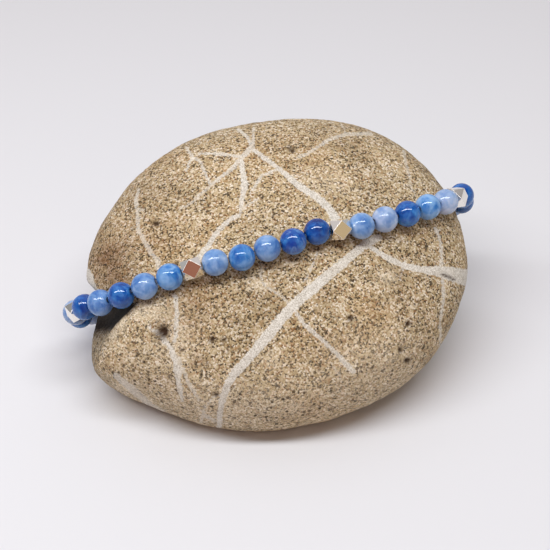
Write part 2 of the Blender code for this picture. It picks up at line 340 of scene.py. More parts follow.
def vein_depth(pixels):
    """How far inside the nearest vein each pixel lies, in mm, and below nought outside: half the
    vein's width less the distance to its route, greatest over all the straight stretches. The second
    array is how clear that vein is."""
    inside = np.full(len(pixels), FAR_OUTSIDE)
    clear = np.zeros(len(pixels))
    for strength, start_width, end_width, *points in VEIN_ROUTES:
        points = np.array(points, float)
        shares = np.linspace(0, 1, len(points))
        for a, b, share_a, share_b in zip(points[:-1], points[1:], shares[:-1], shares[1:]):
            along = np.clip(((pixels - a) @ (b - a)) / ((b - a) @ (b - a)), 0, 1)
            distance = np.linalg.norm(pixels - a - along[:, None] * (b - a), axis=1)
            share = share_a + (share_b - share_a) * along
            depth = (start_width + (end_width - start_width) * share) / 2 - distance
            clear = np.where(depth > inside, strength, clear)
            inside = np.maximum(inside, depth)
    return np.maximum(inside / PIXELS_PER_MM, LEAST_DEPTH), clear


vein, vein_clearness = vein_depth(on_stone)
print("share of the surface in veins:", round(float((vein > 0).mean()), 3))


# %% [markdown]
# ## Pits and stains
# Lumps softer than the rest have fallen out and left pits, iron has stained some patches brown, and
# others are bleached. One wide dark patch is painted shade along the back of the dome, and pale ones
# are painted light on the lower front and sides and a painted highlight along the chip's ridge. Each is
# a soft spot over the picture, placed as the veins are. A pit has to be a real hollow that catches
# shade, so it also goes into the mesh, and only on the side in view; its colour is painted dark as
# well, as the shade in it.

# %% Pits and stains
# Each pit: pixel x and y, then its width and height in pixels.
PITS = (
    (160, 334, 11, 13), (211, 341, 6, 6), (223, 341, 5, 4), (291, 146, 7, 4), (293, 149, 4, 5),
    (353, 320, 7, 5), (411, 325, 5, 5), (402, 351, 4, 6), (409, 362, 6, 5), (154, 223, 6, 5),
    (215, 397, 6, 4), (181, 351, 4, 3), (446, 274.5, 4, 2), (449, 276, 4, 2), (452.5, 277.5, 4, 2),
    (456, 279.5, 4, 2),
)
# Each patch: pixel x and y, half its width and half its height in pixels, and its strength.
# Rusty patches are iron stains; the wide one at (300, 140) is painted shade that darkens the back of the
# dome.
RUSTY_AND_PAINTED_SHADE = (
    (106, 262, 24, 30, 1.3), (125, 285, 24, 12, 0.6), (199, 362, 10, 7, 0.9), (150, 245, 30, 18, 0.3),
    (240, 300, 40, 12, 0.35), (330, 345, 26, 16, 0.25), (330, 292, 12, 8, 0.4), (400, 300, 24, 16, 0.25),
    (165, 378, 22, 12, 0.3), (300, 170, 26, 14, 0.2), (162, 331, 12, 10, 0.6), (150, 200, 45, 50, 0.35),
    (300, 140, 90, 16, 0.35), (290, 210, 50, 24, 0.1), (192, 315, 22, 26, 0.6),
)
# Pale patches are bleached stone; the wide ones low down are painted light on the lower front and sides, and
# the last three a painted highlight along the chip's ridge.
PALE_AND_PAINTED_LIGHT = (
    (150, 312, 14, 9, 0.8), (176, 340, 16, 26, 0.45), (258, 283, 10, 6, 0.7), (390, 277, 9, 9, 0.6),
    (270, 361, 14, 7, 0.5), (294, 408, 9, 8, 0.5), (330, 180, 26, 14, 0.3), (127, 388, 14, 7, 0.6),
    (230, 408, 110, 26, 0.6), (380, 370, 60, 40, 0.45), (140, 360, 50, 36, 0.2),
    (131, 313, 6, 5, 0.9), (120, 325, 5, 6, 0.9), (112, 337, 4, 8, 0.7),
)
PIT_DEPTH_SHARE = 0.5
PIT_PAINTED_SHADE_STRENGTH = 1.4
VIEW_FADE = 4.0


def dent(pixels, x, y, width, height):
    """A bell over the picture: e to the minus square of the distance, counted in half widths."""
    across = (pixels - np.array([x, y])) / (np.array([width, height]) / 2)
    return np.exp(-(across ** 2).sum(axis=1))


def patch_strength(patches):
    """The bells of all patches added up, each times its strength."""
    return sum(dent(on_stone, x, y, 2 * wide, 2 * high) * strength
               for x, y, wide, high, strength in patches)


toward_camera = -(tip(ways) @ camera_ahead)
facing = np.clip(VIEW_FADE * toward_camera, 0, 1)
# The pit mask paints the pits dark, as the shade in them.
pit = np.clip(PIT_PAINTED_SHADE_STRENGTH * sum(dent(on_stone, *one) for one in PITS), 0, 1) * facing
pit_depth = facing * sum(dent(on_stone, *one) * min(one[2:]) * PIT_DEPTH_SHARE / PIXELS_PER_MM
                         for one in PITS)
# Rust stains, with a patch of painted shade.
rusty = patch_strength(RUSTY_AND_PAINTED_SHADE)
# Bleach, with painted light and a painted highlight.
pale = patch_strength(PALE_AND_PAINTED_LIGHT)
print("deepest pit in mm:", round(float(pit_depth.max()), 2))


# %% [markdown]
# ## The old chip
# At the left front a flake has broken off under the string. The break is younger than the worn,
# bleached skin, so it is a darker brown, and a clear ridge runs down beside it, with a painted
# highlight along it. The ridge is again a line of the picture. To the left of it the surface steps in,
# most of all near the beads. Its upper face lies in the beads' shade, which is painted into its colour
# nearly black down to a bend, with a lighter face below.

# %% The old chip
RIDGE = np.array([(150, 292), (134, 306), (126, 314), (116, 324),
                  (108, 334), (102, 346), (99, 356), (92, 372)], float)
CHIP_TOP = 300.0
TOP_SOFTNESS = 6.0
CHIP_LEFT = 92.0
LEFT_SOFTNESS = 6.0
CHIP_MIDDLE = 316.0
CHIP_REACH = 24.0
CHIP_STEP = 1.1
STEP_SOFTNESS = 12.0
CHIP_BEND = 329.0
BEND_SOFTNESS = 7.0
# How dark the chip is painted: a darker fresh break plus painted shade of the beads, nearly black on the
# upper face.
UPPER_FACE_BREAK_AND_PAINTED_SHADE = 0.97
LOWER_FACE_BREAK_AND_PAINTED_SHADE = 0.35
RIDGE_SOFTNESS = 1.5

ridge_x = np.interp(on_stone[:, 1], RIDGE[:, 1], RIDGE[:, 0])
left_of_ridge = np.clip((ridge_x - on_stone[:, 0]) / RIDGE_SOFTNESS, 0, 1)
below_top = np.clip((on_stone[:, 1] - CHIP_TOP) / TOP_SOFTNESS, 0, 1) * (on_stone[:, 1] < RIDGE[-1, 1])
in_sight = np.clip(1 + VIEW_FADE * toward_camera, 0, 1)
chip = left_of_ridge * below_top * in_sight
lower_face = np.clip((on_stone[:, 1] - CHIP_BEND) / BEND_SOFTNESS, 0, 1)
chip_break_and_painted_shade = chip * (UPPER_FACE_BREAK_AND_PAINTED_SHADE + (LOWER_FACE_BREAK_AND_PAINTED_SHADE - UPPER_FACE_BREAK_AND_PAINTED_SHADE) * lower_face)
away_from_ridge = np.clip((ridge_x - on_stone[:, 0]) / STEP_SOFTNESS, 0, 1)
away_from_rim = np.clip((on_stone[:, 0] - CHIP_LEFT) / LEFT_SOFTNESS, 0, 1)
near_beads = np.exp(-((on_stone[:, 1] - CHIP_MIDDLE) / CHIP_REACH) ** 2)
chip_depth = CHIP_STEP * chip * (away_from_ridge * away_from_rim) * near_beads
print("chip in points:", int((chip > 0.5).sum()))


# %% [markdown]
# ## Low relief
# The dome of a real pebble is never smooth: it has soft hollows, and pits where grains fell out. The
# larger of these are moved in the mesh, so that they show on the outline too. They come from value
# noise: random heights at the corners of a lattice, blended smoothly in between.

# %% Relief
RANDOM_HEIGHTS = 4096
# Large primes, which spread neighbouring corners of the lattice over the random heights.
CORNER_KEYS = np.array([73856093, 19349663, 83492791])


def lattice_noise(points, size, seed):
    """Smooth noise from -1 to 1. Each lattice corner gets a fixed random height, and a point takes
    the eight heights round it, weighted by 3t*t - 2t*t*t along each axis."""
    heights = np.random.default_rng(seed).uniform(-1, 1, RANDOM_HEIGHTS)
    cell = np.floor(points / size).astype(int)
    t = points / size - cell
    t = t * t * (3 - 2 * t)
    total = np.zeros(len(points))
    for corner in np.ndindex(2, 2, 2):
        weight = np.prod(np.where(np.array(corner) == 1, t, 1 - t), axis=1)
        key = (cell + corner) @ CORNER_KEYS
        total += weight * heights[key % len(heights)]
    return total


# Each layer: the size of its hollows and their depth in mm, and the seed of its random heights.
HOLLOWS = ((11.0, 0.30, 1), (4.0, 0.12, 2), (1.3, 0.07, 3), (0.55, 0.05, 4))
SUNK_BY = 0.6
VEIN_RISE = 0.05
VEIN_SHOULDER = 0.2

smooth_points = ways * smooth_radius[:, None]
relief = sum(depth * (lattice_noise(smooth_points, size, seed) - SUNK_BY) for size, depth, seed in HOLLOWS)
proud_vein = VEIN_RISE * np.clip(vein / VEIN_SHOULDER, 0, 1)
stone_points = tip(ways * (smooth_radius + relief - pit_depth - chip_depth + proud_vein)[:, None]) + MIDDLE
stone_points[:, 2] = np.maximum(stone_points[:, 2], 0.0)
print("relief in mm:", round(float(relief.min()), 2), "to", round(float(relief.max()), 2))


# %% [markdown]
# ## From arrays to a piece
# Every new piece goes through one function. It puts an array of points and an array of faces into a
# mesh, merges what meets at a seam or a pole, carries named numbers along as attributes for the
# material, hangs the piece on the body and hides the solid that it stands for.

# %% Pieces
MERGE_DISTANCE = 1e-7


def make_piece(name, points, faces, material, node, attributes=None):
    """A mesh of points in mm and of faces, shaded smooth, which rides on the body in place of a node."""
    mesh = bpy.data.meshes.new(name)
    mesh.from_pydata((points * MM).tolist(), [], faces.tolist())
    for title, values in (attributes or {}).items():
        layer = mesh.attributes.new(title, "FLOAT", "POINT")
        layer.data.foreach_set("value", values.astype(np.float32))
    shape = bmesh.new()
    shape.from_mesh(mesh)
    bmesh.ops.remove_doubles(shape, verts=shape.verts, dist=MERGE_DISTANCE)
    bmesh.ops.recalc_face_normals(shape, faces=shape.faces)
    shape.to_mesh(mesh)
    shape.free()
    mesh.shade_smooth()
    mesh.materials.append(material)
    piece = bpy.data.objects.new(name, mesh)
    bpy.context.scene.collection.objects.link(piece)
    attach(piece, "root")
    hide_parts(node)
    return piece


print("finishes to make:", sorted(set(SLOT_OF.values())))


# %% [markdown]
# ## Sandstone
# Sandstone is quartz and feldspar sand in a brown, limy cement. Close by it is not one brown but a
# crowd of grains: cream, tan, ochre, rust and nearly black, with dark holes between them. A Voronoi
# texture gives just that, because each cell is one grain with a random colour. Grains here are 0.24
# mm, between a fine and a medium sand, with finer ones between them, and noise bends their sides.
# Softer noise gathers them in lighter and darker patches, and about one grain in seven has a tinge
# of iron brown.

# %% Sand grains
GRAIN = 0.24
FINE_GRAIN = 0.14
GRAIN_BEND = 0.45
PATCH = 2.4

sandstone = new_material("water_worn_sandstone")
place = add(sandstone, "ShaderNodeTexCoord")
in_mm = add(sandstone, "ShaderNodeVectorMath", {"operation": "SCALE", "Scale": 1 / MM},
            {0: place.outputs["Object"]})
wobble = add(sandstone, "ShaderNodeTexNoise", {"Scale": 1 / GRAIN, "Detail": 2.0},
             {"Vector": in_mm.outputs[0]})
centred = add(sandstone, "ShaderNodeVectorMath", {"operation": "SUBTRACT", 1: (0.5, 0.5, 0.5)},
              {0: wobble.outputs["Color"]})
shift = add(sandstone, "ShaderNodeVectorMath", {"operation": "SCALE", "Scale": GRAIN * GRAIN_BEND},
            {0: centred.outputs[0]})
shaken = add(sandstone, "ShaderNodeVectorMath", {"operation": "ADD"},
             {0: in_mm.outputs[0], 1: shift.outputs[0]})
grains = add(sandstone, "ShaderNodeTexVoronoi", {"Scale": 1 / GRAIN}, {"Vector": shaken.outputs[0]})
fine = add(sandstone, "ShaderNodeTexVoronoi", {"Scale": 1 / FINE_GRAIN}, {"Vector": shaken.outputs[0]})
patches = add(sandstone, "ShaderNodeTexNoise", {"Scale": 1 / PATCH, "Detail": 4.0, "Roughness": 0.6},
              {"Vector": in_mm.outputs[0]})
grain_pick = add(sandstone, "ShaderNodeSeparateColor", {}, {0: grains.outputs["Color"]})
fine_pick = add(sandstone, "ShaderNodeSeparateColor", {}, {0: fine.outputs["Color"]})
patch_share = add(sandstone, "ShaderNodeMapRange",
                  {"From Min": 0.3, "From Max": 0.7, "To Min": -0.16, "To Max": 0.16},
                  {"Value": patches.outputs["Fac"]})
picked = add(sandstone, "ShaderNodeMath", {"operation": "ADD"},
             {0: grain_pick.outputs[0], 1: patch_share.outputs[0]})
grain_colour = add(sandstone, "ShaderNodeValToRGB", {"ramp": (
    (0.0, "0c0a08"), (0.15, "2a2117"), (0.20, "685839"), (0.28, "98845f"),
    (0.48, "b6a481"), (0.70, "cabb9c"), (0.88, "e3d9c7"), (1.0, "f4eee4"))}, {"Fac": picked.outputs[0]})
fine_colour = add(sandstone, "ShaderNodeValToRGB", {"ramp": (
    (0.0, "4a3c2e"), (0.15, "8c7354"), (0.5, "b89e7b"), (0.85, "d4c2a4"), (1.0, "e8dcc6"))},
    {"Fac": fine_pick.outputs[1]})
iron_share = add(sandstone, "ShaderNodeMapRange", {"From Min": 0.84, "From Max": 0.88, "To Max": 0.45},
                 {"Value": grain_pick.outputs[2]})
with_iron = add(sandstone, "ShaderNodeMix", {"data_type": "RGBA", 7: colour("a8703c")},
                {0: iron_share.outputs[0], 6: grain_colour.outputs[0]})
sand = add(sandstone, "ShaderNodeMix", {"data_type": "RGBA", "Factor": 0.2},
           {6: with_iron.outputs[2], 7: fine_colour.outputs[0]})
print("sand grains in pixels:", round(GRAIN * PIXELS_PER_MM, 1))


# %% [markdown]
# Over the grains lie wide, soft clouds of tint, and the rusty and the pale patches. The rusty ones are
# iron stains, and one wide one is painted shade along the back of the dome; the pale ones are bleach,
# painted light on the lower front and sides, and a painted highlight along the chip's ridge. Neither is
# even: the rusty ones are multiplied by the softer noise and come out blotchy, and the pale ones by the
# fine grains' own random numbers, so that single grains take them and others don't.

# %% Stains
CLOUD = 9.0

clouds = add(sandstone, "ShaderNodeTexNoise", {"Scale": 1 / CLOUD, "Detail": 3.0},
             {"Vector": in_mm.outputs[0]})
cloud_tint = add(sandstone, "ShaderNodeValToRGB", {"ramp": (
    (0.3, "ccc2ae"), (0.5, "fbf7ee"), (0.7, "ecdabc"))}, {"Fac": clouds.outputs["Fac"]})
tinted = add(sandstone, "ShaderNodeMix", {"data_type": "RGBA", "blend_type": "MULTIPLY", "Factor": 0.6},
             {6: sand.outputs[2], 7: cloud_tint.outputs[0]})
# Rust stains, and painted shade along the back of the dome.
rust_and_painted_shade_share = add(sandstone, "ShaderNodeAttribute", {"attribute_name": "rusty"})
rust_and_painted_shade_edge = add(sandstone, "ShaderNodeMath", {"operation": "MULTIPLY"},
                 {0: rust_and_painted_shade_share.outputs["Fac"], 1: patches.outputs["Fac"]})
stained_and_painted_shade = add(sandstone, "ShaderNodeMix",
              {"data_type": "RGBA", "blend_type": "MULTIPLY", 7: colour("8a6138")},
              {0: rust_and_painted_shade_edge.outputs[0], 6: tinted.outputs[2]})
# Bleach, painted light on the lower front and sides, and a painted highlight along the chip's ridge.
pale_and_painted_light_share = add(sandstone, "ShaderNodeAttribute", {"attribute_name": "pale"})
pale_and_painted_light_edge = add(sandstone, "ShaderNodeMath", {"operation": "MULTIPLY"},
                {0: pale_and_painted_light_share.outputs["Fac"], 1: fine_pick.outputs[1]})
bleached_and_painted_light = add(sandstone, "ShaderNodeMix", {"data_type": "RGBA", 7: colour("f0e2c8")},
               {0: pale_and_painted_light_edge.outputs[0], 6: stained_and_painted_shade.outputs[2]})
print("clouds in mm:", CLOUD, "patches in mm:", PATCH)


# %% [markdown]
# Where grains have fallen out there are holes about half a millimetre wide, painted dark as the shade
# in them. Wear has closed most of them on the dome, and lower down they stay open. A wider Voronoi
# pattern places them: a hole is round its cell's centre, in about one cell of four. Last of all the chip
# darkens the stone: a darker fresh break, with the beads' shade painted over it.

# %% Holes and the chip's colour
HOLE_SPACING = 0.8
WORN_SHUT_ABOVE = 22.0
OPEN_BELOW = 10.0

holes = add(sandstone, "ShaderNodeTexVoronoi", {"Scale": 1 / HOLE_SPACING}, {"Vector": shaken.outputs[0]})
hole_pick = add(sandstone, "ShaderNodeSeparateColor", {}, {0: holes.outputs["Color"]})
hole_round = add(sandstone, "ShaderNodeMapRange", {"From Min": 0.40, "From Max": 0.28},
                 {"Value": holes.outputs["Distance"]})
hole_some = add(sandstone, "ShaderNodeMapRange", {"From Min": 0.70, "From Max": 0.76},
                {"Value": hole_pick.outputs[0]})
height = add(sandstone, "ShaderNodeSeparateXYZ", {}, {0: in_mm.outputs[0]})
low_share = add(sandstone, "ShaderNodeMapRange",
                {"From Min": WORN_SHUT_ABOVE, "From Max": OPEN_BELOW, "To Min": 0.2, "To Max": 0.8},
                {"Value": height.outputs["Z"]})
hole_here = add(sandstone, "ShaderNodeMath", {"operation": "MULTIPLY"},
                {0: hole_round.outputs[0], 1: hole_some.outputs[0]})
hole_painted_shade_share = add(sandstone, "ShaderNodeMath", {"operation": "MULTIPLY"},
                 {0: hole_here.outputs[0], 1: low_share.outputs[0]})
# The holes are painted dark, as the shade in them.
with_hole_painted_shade = add(sandstone, "ShaderNodeMix", {"data_type": "RGBA", "blend_type": "MULTIPLY", 7: colour("4a3826")},
            {0: hole_painted_shade_share.outputs[0], 6: bleached_and_painted_light.outputs[2]})
# The chip's darker break, with the beads' shade painted over its upper face.
chip_break_and_painted_shade_share = add(sandstone, "ShaderNodeAttribute", {"attribute_name": "chip"})
with_chip_break_and_painted_shade = add(sandstone, "ShaderNodeMix",
              {"data_type": "RGBA", "blend_type": "MULTIPLY", 7: colour("1c1312")},
              {0: chip_break_and_painted_shade_share.outputs["Fac"], 6: with_hole_painted_shade.outputs[2]})
print("places for holes in pixels:", round(HOLE_SPACING * PIXELS_PER_MM, 1))


# %% [markdown]
# The veins are calcite, whiter and finer than the sand. The mesh tells the material how deep inside
# a vein each point is. Noise is added to that depth before it is turned to a mask, so that the edge
# crumbles along the grains and thin ends break up. A worn stone is matt, and the grains stand a
# tenth of a millimetre proud of the holes between them, which the bump gives.

# %% Calcite in the sandstone
CRUMBLE = 0.5
GRAIN_RELIEF = 0.10

vein_share = add(sandstone, "ShaderNodeAttribute", {"attribute_name": "vein"})
ragged = add(sandstone, "ShaderNodeTexNoise", {"Scale": 1 / CRUMBLE, "Detail": 3.0, "Roughness": 0.65},
             {"Vector": in_mm.outputs[0]})
ragged_share = add(sandstone, "ShaderNodeMapRange",
                   {"From Min": 0.25, "From Max": 0.75, "To Min": -0.24, "To Max": 0.24},
                   {"Value": ragged.outputs["Fac"]})
vein_edge = add(sandstone, "ShaderNodeMath", {"operation": "ADD"},
                {0: vein_share.outputs["Fac"], 1: ragged_share.outputs[0]})
vein_mask = add(sandstone, "ShaderNodeMapRange",
                {"interpolation_type": "SMOOTHSTEP", "From Min": -0.10, "From Max": 0.10, "To Max": 0.95},
                {"Value": vein_edge.outputs[0]})
clearness = add(sandstone, "ShaderNodeAttribute", {"attribute_name": "vein_clearness"})
vein_cover = add(sandstone, "ShaderNodeMath", {"operation": "MULTIPLY"},
                 {0: vein_mask.outputs[0], 1: clearness.outputs["Fac"]})
calcite = add(sandstone, "ShaderNodeValToRGB", {"ramp": ((0.0, "aea79b"), (0.35, "cbc6bc"), (1.0, "ece9e2"))},
              {"Fac": fine_pick.outputs[2]})
veined = add(sandstone, "ShaderNodeMix", {"data_type": "RGBA"},
             {0: vein_cover.outputs[0], 6: with_chip_break_and_painted_shade.outputs[2], 7: calcite.outputs[0]})
# Pits painted dark, as the shade in them.
pit_painted_shade_share = add(sandstone, "ShaderNodeAttribute", {"attribute_name": "pit"})
with_pit_painted_shade = add(sandstone, "ShaderNodeMix", {"data_type": "RGBA", 7: colour("33200f")},
             {0: pit_painted_shade_share.outputs["Fac"], 6: veined.outputs[2]})
grain_height = add(sandstone, "ShaderNodeMath", {"operation": "MULTIPLY_ADD", 1: -1.2, 2: 1.0},
                   {0: grains.outputs["Distance"]})
bump = add(sandstone, "ShaderNodeBump", {"Strength": 0.45, "Distance": GRAIN_RELIEF * MM},
           {"Height": grain_height.outputs[0]})
finish_material(sandstone, add(sandstone, "ShaderNodeBsdfPrincipled",
                               {"Roughness": 0.85, "Specular IOR Level": 0.3, "IOR": 1.5},
                               {"Base Color": with_pit_painted_shade.outputs[2], "Normal": bump.outputs[0]}))

pebble = make_piece("sandstone_pebble", stone_points, sheet_faces, sandstone, "pebble",
                    {"vein": vein, "vein_clearness": vein_clearness, "pit": pit, "rusty": rusty, "pale": pale,
                     "chip": chip_break_and_painted_shade})
print("pebble:", len(pebble.data.vertices), "points")


# %% [markdown]
# ## Where the beads are
# The solids already hold the string: the middle of each bead's box is its centre. The hole of a bead
# runs halfway between the ways to its two neighbours, because the elastic pulls it so. One silver
# bead follows the first blue one and every fifth after that.

# %% Bead places
BEAD_RADIUS = 2.03
HOLE_RADIUS = 0.45
BLUES = 35
BLUES_PER_SILVER = 5

order = []
for i in range(1, BLUES + 1):
    order.append(f"blue_bead_{i:02d}")
    if i % BLUES_PER_SILVER == 1:
        order.append(f"silver_bead_{i // BLUES_PER_SILVER + 1}")
centres = np.array([[(low + high) / 2 / MM for low, high in zip(*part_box(node))] for node in order])
forward = np.roll(centres, -1, axis=0) - centres
string_length = np.linalg.norm(forward, axis=1).sum()
forward /= np.linalg.norm(forward, axis=1)[:, None]
headings = forward + np.roll(forward, 1, axis=0)
headings /= np.linalg.norm(headings, axis=1)[:, None]
print("beads:", len(order), "string in mm:", round(float(string_length), 1))


# %% [markdown]
# ## Round stone beads
# A stone bead is ground to a ball and drilled, and the mouth of the hole is eased so that it does
# not cut the elastic. That is a turned shape: a closed profile, out round the ball, over the soft
# mouth and back down the hole, carried once round the string's direction.

# %% Bead surface
AROUND = 48
BALL_STEPS = 26
MOUTH_ROUNDING = 0.16
MOUTH_STEPS = 4


def bead_profile():
    """Distance from the axis and place along it: an arc of the ball from mouth to mouth, a quarter
    turn of small radius at each mouth, and the straight wall of the hole."""
    mouth = math.asin((HOLE_RADIUS + MOUTH_ROUNDING) / BEAD_RADIUS)
    arc = np.linspace(mouth, np.pi - mouth, BALL_STEPS)
    ball = np.stack([BEAD_RADIUS * np.sin(arc), BEAD_RADIUS * np.cos(arc)], axis=1)
    end = BEAD_RADIUS * math.cos(mouth)
    quarter = np.linspace(0, np.pi / 2, MOUTH_STEPS)[1:]
    lower = np.stack([HOLE_RADIUS + MOUTH_ROUNDING * (1 - np.sin(quarter)),
                      -end + MOUTH_ROUNDING * (1 - np.cos(quarter))], axis=1)
    upper = np.stack([lower[::-1, 0], -lower[::-1, 1]], axis=1)
    return np.vstack([ball, lower, upper])


def turned_bead(centre, heading):
    """The profile turned round the heading: centre + axis part along the heading + radius part round it."""
    profile = bead_profile()
    side = np.cross(heading, [0.0, 0.0, 1.0])
    side /= np.linalg.norm(side)
    other = np.cross(heading, side)
    angle = np.linspace(0, 2 * np.pi, AROUND, endpoint=False)
    ring = np.cos(angle)[:, None] * side + np.sin(angle)[:, None] * other
    points = centre + profile[:, None, 1:] * heading + profile[:, None, :1] * ring
    rows, columns = np.meshgrid(np.arange(len(profile)), np.arange(AROUND), indexing="ij")
    next_row, next_column = (rows + 1) % len(profile), (columns + 1) % AROUND
    faces = np.stack([rows * AROUND + columns, next_row * AROUND + columns,
                      next_row * AROUND + next_column, rows * AROUND + next_column], axis=-1)
    return points.reshape(-1, 3), faces.reshape(-1, 4)


print("points of a bead:", len(bead_profile()) * AROUND)


# %% [markdown]
# ## Polished blue stone
# The beads are a cloudy, let-through stone: light goes in, wanders and comes out again, so they glow
# at the side away from the lamp and are deepest where it enters. That glow is painted light: the
# colour is made paler on the side away from the lamp. Real refraction would be noisy here, and the
# stone is milky anyway, so it is made with subsurface scattering under a hard, clear coat. Noise a
# millimetre or two across gives the clouds, and a finer, drawn-out one the pale veils.

# %% Blue stone materials
CLOUD_SIZE = 1.7
VEIL_SIZE = 0.8
GLOW_DEPTH = 0.9
TINT_REACH = 0.2
AWAY_FROM_LAMP = (0.31, 0.26, -0.92)
SHADES = {
    "deep_blue_stone": ("04256e", "1052a4", "4a8ccc"),
    "middle_blue_stone": ("0c429a", "3579c0", "86b0de"),
    "light_blue_stone": ("3a6cb2", "6c96cc", "a6bee0"),
    "pale_blue_stone": ("6488bf", "8faad2", "c2cee6"),
}
# How much paler, or below nought deeper, each bead in sight is than its shade, from the left.
TINTS = (-0.9, -0.2, -0.9, 0.1, -0.1, 0.2, 0.2, 0.0, -0.3, -1.0, -0.7, 0.0, -0.1, 0.3, 0.8, 0.2, 0.0, -0.2)


def blue_stone(name, deep, body, pale):
    """Milky quartz, dyed blue and polished: clouds from deep to pale, and painted light that makes the side
    away from the lamp paler, where light comes out. The bead's own tint moves its clouds toward the deep
    or the pale end."""
    stone = new_material(name)
    place = add(stone, "ShaderNodeTexCoord")
    in_mm = add(stone, "ShaderNodeVectorMath", {"operation": "SCALE", "Scale": 1 / MM},
                {0: place.outputs["Object"]})
    clouds = add(stone, "ShaderNodeTexNoise", {"Scale": 1 / CLOUD_SIZE, "Detail": 2.0, "Distortion": 0.5},
                 {"Vector": in_mm.outputs[0]})
    drawn = add(stone, "ShaderNodeVectorMath", {"operation": "MULTIPLY", 1: (1.0, 1.0, 0.35)},
                {0: in_mm.outputs[0]})
    veils = add(stone, "ShaderNodeTexNoise",
                {"Scale": 1 / VEIL_SIZE, "Detail": 4.0, "Roughness": 0.55, "Distortion": 0.8},
                {"Vector": drawn.outputs[0]})
    tint = add(stone, "ShaderNodeAttribute", {"attribute_name": "tint"})
    tinted = add(stone, "ShaderNodeMath", {"operation": "MULTIPLY_ADD", 1: TINT_REACH},
                 {0: tint.outputs["Fac"], 2: clouds.outputs["Fac"]})
    cloud_colour = add(stone, "ShaderNodeValToRGB", {"ramp": ((0.25, deep), (0.5, body), (0.78, pale))},
                       {"Fac": tinted.outputs[0]})
    veil_share = add(stone, "ShaderNodeMapRange", {"From Min": 0.52, "From Max": 0.75, "To Max": 0.45},
                     {"Value": veils.outputs["Fac"]})
    veiled = add(stone, "ShaderNodeMix", {"data_type": "RGBA", 7: colour(pale)},
                 {0: veil_share.outputs[0], 6: cloud_colour.outputs[0]})
    # Painted light: the colour is paler on the side away from the lamp.
    outward = add(stone, "ShaderNodeNewGeometry")
    under = add(stone, "ShaderNodeVectorMath", {"operation": "DOT_PRODUCT", 1: AWAY_FROM_LAMP},
                {0: outward.outputs["Normal"]})
    painted_glow = add(stone, "ShaderNodeMapRange", {"From Min": -0.5, "From Max": 0.9, "To Max": 0.55},
               {"Value": under.outputs["Value"]})
    with_painted_glow = add(stone, "ShaderNodeMix", {"data_type": "RGBA", 7: colour(pale)},
              {0: painted_glow.outputs[0], 6: veiled.outputs[2]})
    shader = add(stone, "ShaderNodeBsdfPrincipled",
                 {"Roughness": 0.3, "IOR": 1.54, "Specular IOR Level": 0.0,
                  "Subsurface Weight": 0.35, "Subsurface Scale": GLOW_DEPTH * MM,
                  "Subsurface Radius": (0.5, 0.7, 1.0),
                  "Coat Weight": 1.0, "Coat Roughness": 0.05, "Coat IOR": 1.54},
                 {"Base Color": with_painted_glow.outputs[2]})
    return finish_material(stone, shader)


blue_stones = {slot: blue_stone("polished_" + slot, *codes) for slot, codes in SHADES.items()}
blue_nodes = [node for node in order if node.startswith("blue")]
tint_of = dict(zip(blue_nodes, TINTS + (0.0,) * (BLUES - len(TINTS))))
for node, centre, heading in zip(order, centres, headings):
    if node in tint_of:
        points, faces = turned_bead(centre, heading)
        make_piece("polished_" + node, points, faces, blue_stones[SLOT_OF[node]], node,
                   {"tint": np.full(len(points), tint_of[node])})
print("blue beads:", len(blue_nodes))


# %% [markdown]
# ## Silver cornerless cubes
# These spacers are cast and tumbled, so their flat faces are mirrors and their edges are softly
# rounded. The tumbling leaves the edges a little duller than the faces, so they show as white lines
# all round. The solid already has the faces and the hole, so a merged copy of it gets a fine Bevel,
# and the Bevel's own faces get the duller finish.

# %% Silver
EDGE_ROUNDING = 0.14
SAME_FACE_DEGREES = 2
EDGE_DEGREES = 40

silver = new_material("tumbled_silver")
finish_material(silver, add(silver, "ShaderNodeBsdfPrincipled",
                            {"Base Color": colour("f3efe9"), "Metallic": 1.0, "Roughness": 0.1}))
worn_edge = new_material("worn_silver_edge")
finish_material(worn_edge, add(worn_edge, "ShaderNodeBsdfPrincipled",
                               {"Base Color": colour("fbf8f3"), "Metallic": 1.0, "Roughness": 0.42}))
for node in order:
    if node.startswith("silver"):
        mesh = frame["nodes"][node].data
        points = np.empty(len(mesh.vertices) * 3)
        mesh.vertices.foreach_get("co", points)
        faces = np.array([list(face.vertices) for face in mesh.polygons])
        piece = make_piece("tumbled_" + node, points.reshape(-1, 3) / MM, faces, silver, node)
        shape = bmesh.new()
        shape.from_mesh(piece.data)
        bmesh.ops.dissolve_limit(shape, angle_limit=math.radians(SAME_FACE_DEGREES),
                                 verts=shape.verts, edges=shape.edges)
        shape.to_mesh(piece.data)
        shape.free()
        piece.data.materials.append(worn_edge)
        soft = piece.modifiers.new("soft_edges", "BEVEL")
        soft.material = 1
        soft.width = EDGE_ROUNDING * MM
        soft.segments = 3
        soft.limit_method = "ANGLE"
        soft.angle_limit = math.radians(EDGE_DEGREES)
        soft.harden_normals = True
print("silver beads:", sum(node.startswith("silver") for node in order))


# %% [markdown]
# ## Elastic
# Stretch cord is clear polyurethane, a little milky when it is drawn. Only slivers of it show
# between the beads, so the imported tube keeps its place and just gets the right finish.

# %% Elastic cord
elastic = new_material("clear_stretch_cord")
finish_material(elastic, add(elastic, "ShaderNodeBsdfPrincipled",
                             {"Base Color": colour("dfe2e8"), "Roughness": 0.15, "IOR": 1.5,
                              "Transmission Weight": 0.9}))
cord = frame["nodes"]["elastic_cord"]
cord.data.materials.clear()
cord.data.materials.append(elastic)


# %% [markdown]
# ## One long lamp
# A long, narrow lamp hangs close above the stone, a little to the left and to the front. It gives
# most of the light. On each ball it is the bright bar: the bar's length and thickness give the
# lamp's angles, and its shift from ball to ball gives the distance. Along its length the shadows are
# wide and soft, across it they are narrow and dark. The floor is plain, matt and nearly white.

